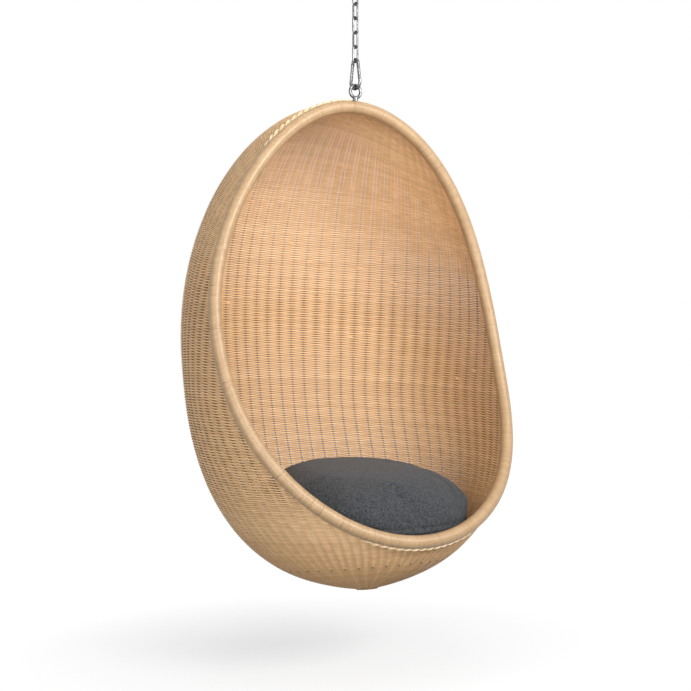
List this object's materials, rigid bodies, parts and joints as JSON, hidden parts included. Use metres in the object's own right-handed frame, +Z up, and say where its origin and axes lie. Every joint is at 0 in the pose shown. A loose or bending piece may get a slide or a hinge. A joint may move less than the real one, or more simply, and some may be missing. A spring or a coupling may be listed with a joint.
{
  "type": "hanging pod chair",
  "caption": "Hanging egg-shaped lounge chair: woven rattan shell on a wrapped hoop, loose cushion, hung by an eye, a sprung snap hook and a welded chain from a ceiling plate.",
  "frame": {"origin": "middle of the ceiling plate's upper face, where it bears on the ceiling", "axes": "+Z up into the ceiling, -Y the way the chair looks, +X to the sitter's left-hand side as seen from the front's right"},
  "size_m": [0.8354, 0.7561, 1.5344],
  "materials": {
    "fitting_steel": "bright zinc plating",
    "chain_steel": "bright zinc plating, slightly worn at the bends",
    "hook_steel": "polished zinc plating",
    "eye_steel": "polished zinc plating",
    "rattan_pole": "peeled, unfinished",
    "rattan_peel": "satin natural peel, clear lacquer",
    "rattan_core": "satin honey lacquer",
    "rattan_stake": "satin honey lacquer",
    "cushion_cloth": "dark grey melange plain weave",
    "cushion_filling": "soft filling",
    "zip_tape": "matte coil zip"
  },
  "bodies": {
    "ceiling": {"ceiling_plate": "fitting_steel", "ceiling_eye": "fitting_steel"},
    "top_link": {"chain_link_6": "chain_steel"},
    "upper_chain": {"chain_link_5": "chain_steel", "chain_link_4": "chain_steel"},
    "lower_chain": {"chain_link_3": "chain_steel", "chain_link_2": "chain_steel", "chain_link_1": "chain_steel"},
    "hook": {"hook_body": "hook_steel", "gate_rivet": "hook_steel"},
    "gate": {"hook_gate": "hook_steel", "latch_pin": "hook_steel", "push_pin": "hook_steel", "gate_spring": "hook_steel"},
    "chair": {"hanging_eye": "eye_steel", "eye_washer": "eye_steel", "eye_nut": "eye_steel", "eye_sleeve": "eye_steel", "hoop_pole": "rattan_pole", "scarf_dowel": "rattan_pole", "peel_binding": "rattan_peel", "border_twine": "rattan_core", "woven_shell": "rattan_core", "main_stakes": "rattan_stake", "side_stakes": "rattan_stake", "base_knot": "rattan_stake"},
    "cushion": {"cushion_cover": "cushion_cloth", "cushion_fill": "cushion_filling", "cover_zip": "zip_tape"}
  },
  "joints": [
    {"name": "top_link_swing", "type": "hinge", "parent": "ceiling", "child": "top_link", "pos_m": [0, 0, -0.031], "axis": [0.9848, 0.1736, 0], "range_deg": [-15, 15]},
    {"name": "upper_chain_swing", "type": "hinge", "parent": "top_link", "child": "upper_chain", "pos_m": [0, 0, -0.0647], "axis": [-0.1736, 0.9848, 0], "range_deg": [-15, 15]},
    {"name": "chain_twist", "type": "hinge", "parent": "upper_chain", "child": "lower_chain", "pos_m": [0, 0, -0.1351], "axis": [0, 0, 1], "range_deg": [-25, 25], "stiffness_Nm_per_rad": 0.4},
    {"name": "hook_swing", "type": "hinge", "parent": "lower_chain", "child": "hook", "pos_m": [0, 0, -0.2407], "axis": [0.9848, 0.1736, 0], "range_deg": [-15, 15]},
    {"name": "gate_open", "type": "hinge", "parent": "hook", "child": "gate", "pos_m": [-0.00165, 0.00936, -0.246], "axis": [0.9848, 0.1736, 0], "range_deg": [-25, 0], "stiffness_Nm_per_rad": 0.05, "springref_deg": 28.65},
    {"name": "chair_swing", "type": "hinge", "parent": "hook", "child": "chair", "pos_m": [0, 0, -0.3059], "axis": [-0.1736, 0.9848, 0], "range_deg": [-15, 15]},
    {"name": "cushion_lift", "type": "slide", "parent": "chair", "child": "cushion", "axis": [0, -0.7071, 0.7071], "range_m": [0, 0.8]}
  ]
}
